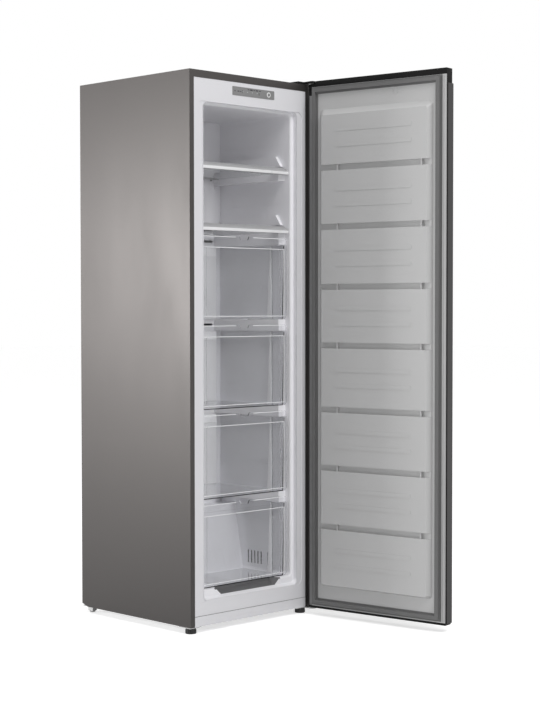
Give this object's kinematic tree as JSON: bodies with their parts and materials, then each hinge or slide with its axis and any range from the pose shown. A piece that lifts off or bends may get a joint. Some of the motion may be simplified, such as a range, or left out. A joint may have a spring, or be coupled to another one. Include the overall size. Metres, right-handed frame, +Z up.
{
  "type": "upright freezer",
  "caption": "Tall free-standing freezer with its hinged door open on clear sliding drawers and glass shelves, a control strip at the top, feet in front and rollers behind.",
  "frame": {"origin": "on the floor, under the middle of the cabinet's footprint without its door", "axes": "+X to the right as seen by someone facing the freezer, +Y from the front toward the back, +Z up"},
  "size_m": [0.6448, 1.1227, 1.82],
  "materials": {
    "case_paint": "silver-grey metallic paint, satin",
    "door_paint": "silver-grey metallic paint, satin",
    "coil_paint": "black enamel, gloss",
    "compressor_paint": "black paint, semi-gloss",
    "zinc_sheet": "zinc-coated sheet, dull",
    "hinge_steel": "zinc-plated steel, satin",
    "screw_steel": "zinc-plated steel, satin",
    "pin_steel": "ground steel, smooth",
    "heater_steel": "stainless sheath, satin",
    "fin_aluminium": "bare aluminium fins",
    "tube_aluminium": "bare aluminium tube",
    "copper": "bare copper tube, dull",
    "liner_plastic": "white moulded plastic, satin",
    "door_liner_plastic": "white vacuum-formed plastic, satin",
    "cover_plastic": "white moulded plastic, satin",
    "trim_plastic": "pale grey plastic, satin",
    "clear_plastic": "clear moulded plastic",
    "shelf_glass": "clear tempered glass",
    "bezel_plastic": "grey plastic, satin",
    "board_plastic": "green circuit board",
    "button_plastic": "grey plastic, satin",
    "lens_plastic": "translucent plastic",
    "dark_plastic": "black plastic, satin",
    "foot_plastic": "black plastic, matte",
    "roller_plastic": "grey nylon, matte",
    "bush_plastic": "natural nylon, matte",
    "fan_plastic": "dark grey plastic, matte",
    "motor_plastic": "black plastic, matte",
    "shroud_plastic": "pale grey plastic, matte",
    "gasket_rubber": "grey vinyl, matte",
    "magnet_rubber": "bonded magnet strip, matte",
    "mount_rubber": "black rubber, matte",
    "foam": "rigid foam, open cells"
  },
  "bodies": {
    "cabinet": {"back_panel": "zinc_sheet", "back_screws": "screw_steel", "base_plate": "zinc_sheet", "bottom_hinge_bracket": "hinge_steel", "compressor": "compressor_paint", "compressor_mounts": "mount_rubber", "compressor_tray": "zinc_sheet", "condenser_coil": "coil_paint", "control_bezel": "bezel_plastic", "control_board": "board_plastic", "cord_gland": "dark_plastic", "cover_screws": "screw_steel", "defrost_heater": "heater_steel", "drain_tube": "shroud_plastic", "drip_tray": "shroud_plastic", "evaporator_cover": "cover_plastic", "evaporator_fins": "fin_aluminium", "evaporator_tubes": "tube_aluminium", "fan_motor": "motor_plastic", "fan_shroud": "shroud_plastic", "filter_drier": "copper", "hinge_pins": "pin_steel", "hinge_screws": "screw_steel", "indicator_lenses": "lens_plastic", "inner_liner": "liner_plastic", "insulation_foam": "foam", "left_foot_bracket": "hinge_steel", "machine_room_cover": "zinc_sheet", "outer_wrapper": "case_paint", "refrigerant_pipes": "copper", "return_air_grille": "cover_plastic", "roller_axles": "pin_steel", "roller_brackets": "zinc_sheet", "starter_box": "dark_plastic", "toe_plate": "liner_plastic", "top_hinge_bracket": "hinge_steel", "top_hinge_cover": "dark_plastic"},
    "door": {"door_skin": "door_paint", "door_foam": "foam", "door_liner": "door_liner_plastic", "door_frame_strip": "bezel_plastic", "door_gasket": "gasket_rubber", "gasket_magnets": "magnet_rubber", "door_top_cap": "dark_plastic", "door_bottom_cap": "dark_plastic", "hinge_bushes": "bush_plastic"},
    "upper_shelf": {"upper_shelf_glass": "shelf_glass", "upper_shelf_trims": "trim_plastic"},
    "lower_shelf": {"lower_shelf_glass": "shelf_glass", "lower_shelf_trims": "trim_plastic"},
    "lowest_drawer": {"drawer_1": "clear_plastic"},
    "second_drawer": {"drawer_2": "clear_plastic"},
    "third_drawer": {"drawer_3": "clear_plastic"},
    "top_drawer": {"drawer_4": "clear_plastic"},
    "button": {"control_button": "button_plastic"},
    "fan": {"fan_blades": "fan_plastic"},
    "left_foot": {"foot_front_left": "foot_plastic"},
    "right_foot": {"foot_front_right": "foot_plastic"},
    "left_roller": {"roller_left": "roller_plastic"},
    "right_roller": {"roller_right": "roller_plastic"}
  },
  "joints": [
    {"name": "door_hinge", "type": "hinge", "parent": "cabinet", "child": "door", "pos_m": [0.265, -0.304, 0.917], "axis": [0, 0, 1], "range_deg": [-98, 27]},
    {"name": "upper_shelf_slide", "type": "slide", "parent": "cabinet", "child": "upper_shelf", "axis": [0, -1, 0], "range_m": [0, 0.25]},
    {"name": "lower_shelf_slide", "type": "slide", "parent": "cabinet", "child": "lower_shelf", "axis": [0, -1, 0], "range_m": [0, 0.25]},
    {"name": "lowest_drawer_slide", "type": "slide", "parent": "cabinet", "child": "lowest_drawer", "axis": [0, -1, 0], "range_m": [0, 0.18]},
    {"name": "second_drawer_slide", "type": "slide", "parent": "cabinet", "child": "second_drawer", "axis": [0, -1, 0], "range_m": [0, 0.28]},
    {"name": "third_drawer_slide", "type": "slide", "parent": "cabinet", "child": "third_drawer", "axis": [0, -1, 0], "range_m": [0, 0.28]},
    {"name": "top_drawer_slide", "type": "slide", "parent": "cabinet", "child": "top_drawer", "axis": [0, -1, 0], "range_m": [0, 0.28]},
    {"name": "button_press", "type": "slide", "parent": "cabinet", "child": "button", "axis": [0, 1, 0], "range_m": [0, 0.0015], "stiffness_N_per_m": 300},
    {"name": "fan_spin", "type": "hinge", "parent": "cabinet", "child": "fan", "pos_m": [0, 0.154, 1.595], "axis": [0, 1, 0], "continuous": true},
    {"name": "left_foot_turn", "type": "hinge", "parent": "cabinet", "child": "left_foot", "pos_m": [-0.253, -0.256, 0.01], "axis": [0, 0, 1], "continuous": true},
    {"name": "right_foot_turn", "type": "hinge", "parent": "cabinet", "child": "right_foot", "pos_m": [0.253, -0.256, 0.01], "axis": [0, 0, 1], "continuous": true},
    {"name": "left_roller_spin", "type": "hinge", "parent": "cabinet", "child": "left_roller", "pos_m": [-0.25, 0.255, 0.011], "axis": [1, 0, 0], "continuous": true},
    {"name": "right_roller_spin", "type": "hinge", "parent": "cabinet", "child": "right_roller", "pos_m": [0.25, 0.255, 0.011], "axis": [1, 0, 0], "continuous": true}
  ]
}
